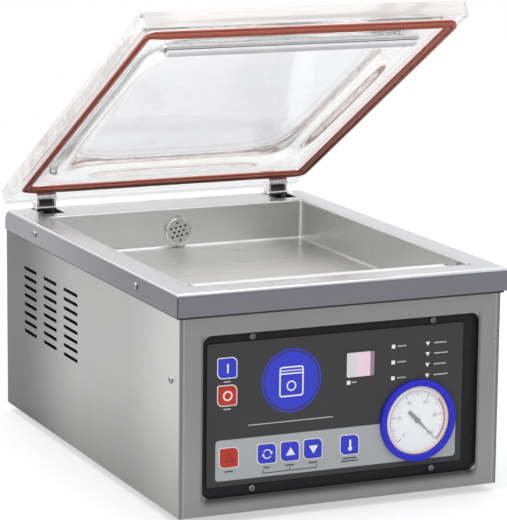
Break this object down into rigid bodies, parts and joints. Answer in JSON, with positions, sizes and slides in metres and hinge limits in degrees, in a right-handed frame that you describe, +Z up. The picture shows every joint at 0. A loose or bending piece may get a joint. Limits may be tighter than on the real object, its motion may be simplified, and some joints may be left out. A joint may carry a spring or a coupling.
{
  "type": "vacuum packing machine",
  "caption": "Table-top chamber vacuum packing machine: stainless cabinet, clear hinged lid with gasket, heated seal bar, keypad panel with vacuum gauge, internal pump.",
  "frame": {"origin": "bottom centre of the bounding box with the lid open as in the rest pose, on the ground plane under the feet; it is also the centre of the cabinet's footprint to within 1 mm", "axes": "+X to the machine's right seen from the front, +Y to the back, +Z up; the control panel faces -Y"},
  "size_m": [0.3334, 0.4725, 0.4504],
  "materials": {
    "stainless_panel": "brushed stainless sheet, satin",
    "stainless_deck": "brushed stainless sheet, folded",
    "stainless_chamber": "satin stainless, drawn and welded",
    "steel_plated": "zinc-plated steel",
    "chrome_parts": "polished",
    "clear_acrylic": "clear acrylic, polished",
    "red_silicone": "red-brown silicone, satin",
    "white_silicone": "translucent white silicone",
    "aluminium": "extruded, natural",
    "brass": "machined",
    "heating_alloy": "nickel-chrome strip",
    "ptfe_tape": "PTFE-coated glass fabric, brown",
    "black_plastic": "moulded, fine texture",
    "label_film": "printed film, satin",
    "blue_plastic": "moulded, satin gloss",
    "red_plastic": "moulded, satin gloss",
    "white_plastic": "translucent white",
    "display_tint": "tinted display filter",
    "gauge_face": "printed dial",
    "gauge_glass": "clear",
    "rubber_black": "matt",
    "circuit_board": "solder mask",
    "cast_painted": "enamel on cast iron",
    "motor_paint": "enamel",
    "copper": "enamelled copper winding",
    "silicone_clear": "translucent hose"
  },
  "bodies": {
    "cabinet": {"base_plate": "steel_plated", "bezel_screws": "steel_plated", "casing_screws": "chrome_parts", "control_bezel": "black_plastic", "control_board": "circuit_board", "deck_cover": "stainless_deck", "display_window": "display_tint", "exhaust_filter": "cast_painted", "fan_cowl": "black_plastic", "front_panel": "stainless_panel", "gauge_bezel_ring": "blue_plastic", "gauge_case": "steel_plated", "gauge_dial": "gauge_face", "gauge_glass": "gauge_glass", "hinge_bearings": "steel_plated", "indicator_lenses": "white_plastic", "label_plate": "label_film", "left_side_panel": "stainless_panel", "lid_lift_springs": "steel_plated", "lid_switch": "black_plastic", "lift_bladder": "white_silicone", "oil_filler_plug": "black_plastic", "oil_sight_glass": "brass", "power_inlet": "black_plastic", "pump_body": "cast_painted", "pump_motor": "motor_paint", "rear_panel": "stainless_panel", "right_side_panel": "stainless_panel", "rubber_feet": "rubber_black", "seal_bar_sockets": "white_plastic", "solenoid_valves": "black_plastic", "suction_elbow": "brass", "suction_hose": "silicone_clear", "suction_port_cover": "stainless_chamber", "tact_switches": "black_plastic", "transformer_core": "steel_plated", "transformer_windings": "copper", "vacuum_chamber": "stainless_chamber"},
    "lid": {"lid_window": "clear_acrylic", "lid_gasket": "red_silicone", "counter_bar_holder": "aluminium", "counter_bar_strip": "white_silicone", "lid_screws": "chrome_parts", "left_hinge_arm": "chrome_parts", "right_hinge_arm": "chrome_parts", "hinge_shaft": "steel_plated"},
    "seal_bar": {"seal_bar": "aluminium", "heating_wire": "heating_alloy", "seal_tape": "ptfe_tape", "seal_bar_terminals": "brass"},
    "gauge_needle": {"gauge_needle": "black_plastic"},
    "switch_plunger": {"lid_switch_plunger": "white_plastic"},
    "motor_rotor": {"motor_rotor": "steel_plated"},
    "key_on": {"key_on": "blue_plastic"},
    "key_off": {"key_off": "red_plastic"},
    "key_stop": {"key_stop": "red_plastic"},
    "key_set": {"key_set": "blue_plastic"},
    "key_up": {"key_up": "blue_plastic"},
    "key_down": {"key_down": "blue_plastic"},
    "key_temperature": {"key_temperature": "blue_plastic"}
  },
  "joints": [
    {"name": "lid_hinge", "type": "hinge", "parent": "cabinet", "child": "lid", "pos_m": [0, 0.21871, 0.18216], "axis": [1, 0, 0], "range_deg": [-3, 30.26], "deforming": ["lid_lift_springs"]},
    {"name": "seal_bar_lift", "type": "slide", "parent": "cabinet", "child": "seal_bar", "axis": [0, 0, 1], "range_m": [0, 0.0022]},
    {"name": "lid_switch_press", "type": "slide", "parent": "cabinet", "child": "switch_plunger", "axis": [0, -1, 0], "range_m": [-0.0004, 0.0037]},
    {"name": "gauge_needle_turn", "type": "hinge", "parent": "cabinet", "child": "gauge_needle", "pos_m": [0.0778, -0.2269, 0.0754], "axis": [0, -1, 0], "range_deg": [0, 270]},
    {"name": "motor_spin", "type": "hinge", "parent": "cabinet", "child": "motor_rotor", "pos_m": [0.0236, 0, 0.08], "axis": [0, 1, 0], "continuous": true},
    {"name": "key_on_press", "type": "slide", "parent": "cabinet", "child": "key_on", "axis": [0, 1, 0], "range_m": [0, 0.0008]},
    {"name": "key_off_press", "type": "slide", "parent": "cabinet", "child": "key_off", "axis": [0, 1, 0], "range_m": [0, 0.0008]},
    {"name": "key_stop_press", "type": "slide", "parent": "cabinet", "child": "key_stop", "axis": [0, 1, 0], "range_m": [0, 0.0008]},
    {"name": "key_set_press", "type": "slide", "parent": "cabinet", "child": "key_set", "axis": [0, 1, 0], "range_m": [0, 0.0008]},
    {"name": "key_up_press", "type": "slide", "parent": "cabinet", "child": "key_up", "axis": [0, 1, 0], "range_m": [0, 0.0008]},
    {"name": "key_down_press", "type": "slide", "parent": "cabinet", "child": "key_down", "axis": [0, 1, 0], "range_m": [0, 0.0008]},
    {"name": "key_temperature_press", "type": "slide", "parent": "cabinet", "child": "key_temperature", "axis": [0, 1, 0], "range_m": [0, 0.0008]}
  ],
  "couplings": [
    {"joint": "lid_switch_press", "follows": "lid_hinge", "m_per_rad": 0.006816}
  ]
}
